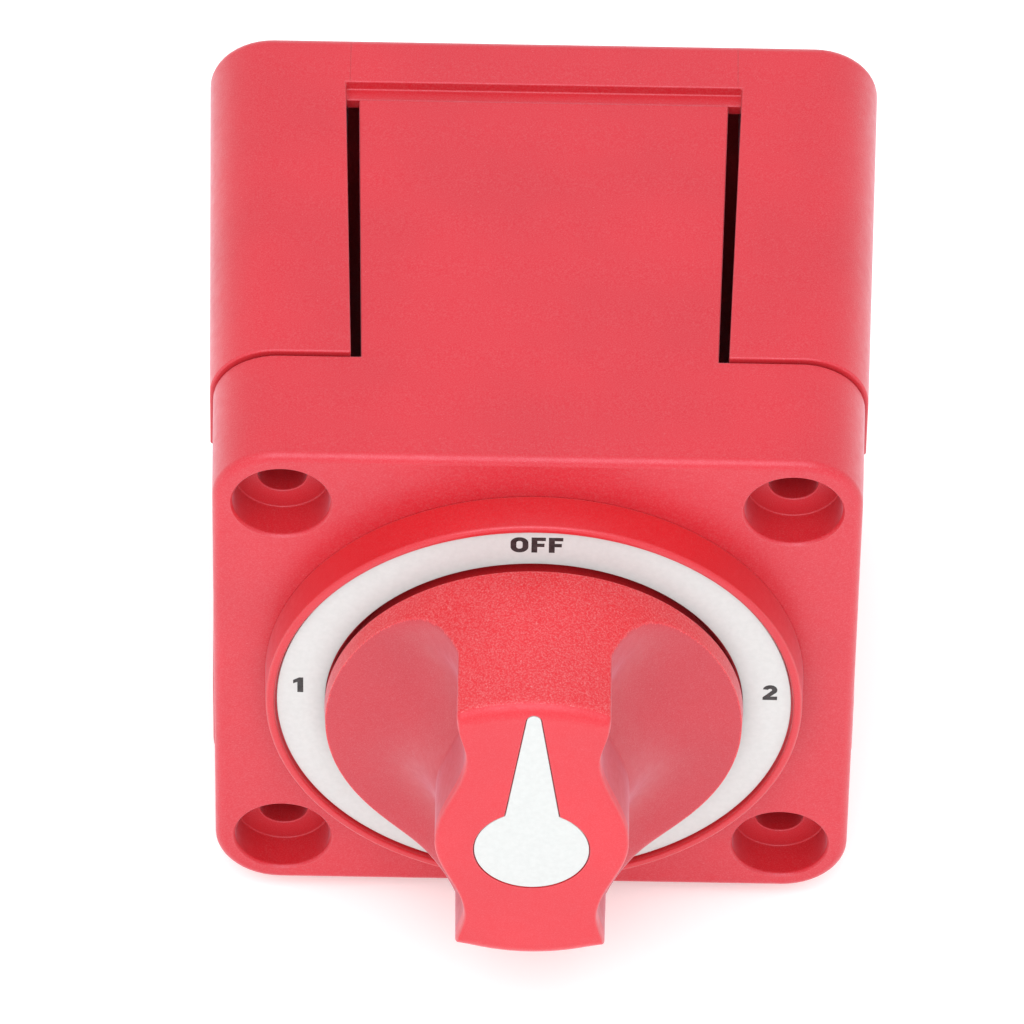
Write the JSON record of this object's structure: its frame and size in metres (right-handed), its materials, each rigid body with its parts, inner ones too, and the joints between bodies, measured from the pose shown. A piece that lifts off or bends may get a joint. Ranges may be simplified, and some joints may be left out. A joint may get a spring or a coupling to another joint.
{
  "type": "battery switch",
  "caption": "Rotary battery selector switch with a waisted pointer knob on a square red case and a pull-off rear terminal cover.",
  "frame": {"origin": "centre of the flat rear mounting face, on the knob axis", "axes": "+Y from the knob towards the mounting surface, along the knob axis; +Z towards the OFF mark; +X to the right seen from the front"},
  "size_m": [0.0724, 0.0821, 0.0724],
  "materials": {
    "housing_plastic": "fine matte spark-eroded grain",
    "knob_plastic": "fine grain, slightly glossier than the case",
    "label": "satin film with dark print",
    "dark_plastic": "glass-filled moulding",
    "rubber": "matte",
    "steel": "bright stainless",
    "tinned_copper": "dull bright tin plating on copper",
    "copper": "bare copper"
  },
  "bodies": {
    "housing": {"front_housing": "housing_plastic", "bezel_ring": "housing_plastic", "break_out_tongue_top": "housing_plastic", "break_out_tongue_right": "housing_plastic", "break_out_tongue_bottom": "housing_plastic", "break_out_tongue_left": "housing_plastic", "dial_label": "label", "contact_chamber": "dark_plastic", "terminal_base": "dark_plastic", "shaft_seal": "rubber", "base_gasket": "rubber", "stud_seal_1": "rubber", "stud_seal_2": "rubber", "stud_seal_common": "rubber", "base_screw_1": "steel", "base_screw_2": "steel", "base_screw_3": "steel", "base_screw_4": "steel", "flat_washer_1": "steel", "flat_washer_2": "steel", "flat_washer_common": "steel", "spring_washer_1": "steel", "spring_washer_2": "steel", "spring_washer_common": "steel", "hex_nut_1": "steel", "hex_nut_2": "steel", "hex_nut_common": "steel", "stud_1": "tinned_copper", "stud_2": "tinned_copper", "stud_common": "tinned_copper"},
    "rotor": {"knob": "knob_plastic", "pointer_label": "label", "rotor_shaft": "dark_plastic", "retaining_clip": "steel", "contact_carrier": "dark_plastic", "detent_ball_left": "steel", "detent_ball_right": "steel", "detent_spring_left": "steel", "detent_spring_right": "steel", "contact_bridge": "copper", "contact_spring": "steel"},
    "rear_cover": {"rear_cover": "housing_plastic"}
  },
  "joints": [
    {"name": "knob_turn", "type": "hinge", "parent": "housing", "child": "rotor", "pos_m": [0, 0, 0], "axis": [0, -1, 0], "continuous": true},
    {"name": "cover_slide", "type": "slide", "parent": "housing", "child": "rear_cover", "axis": [0, 1, 0], "range_m": [0, 0.06]}
  ]
}
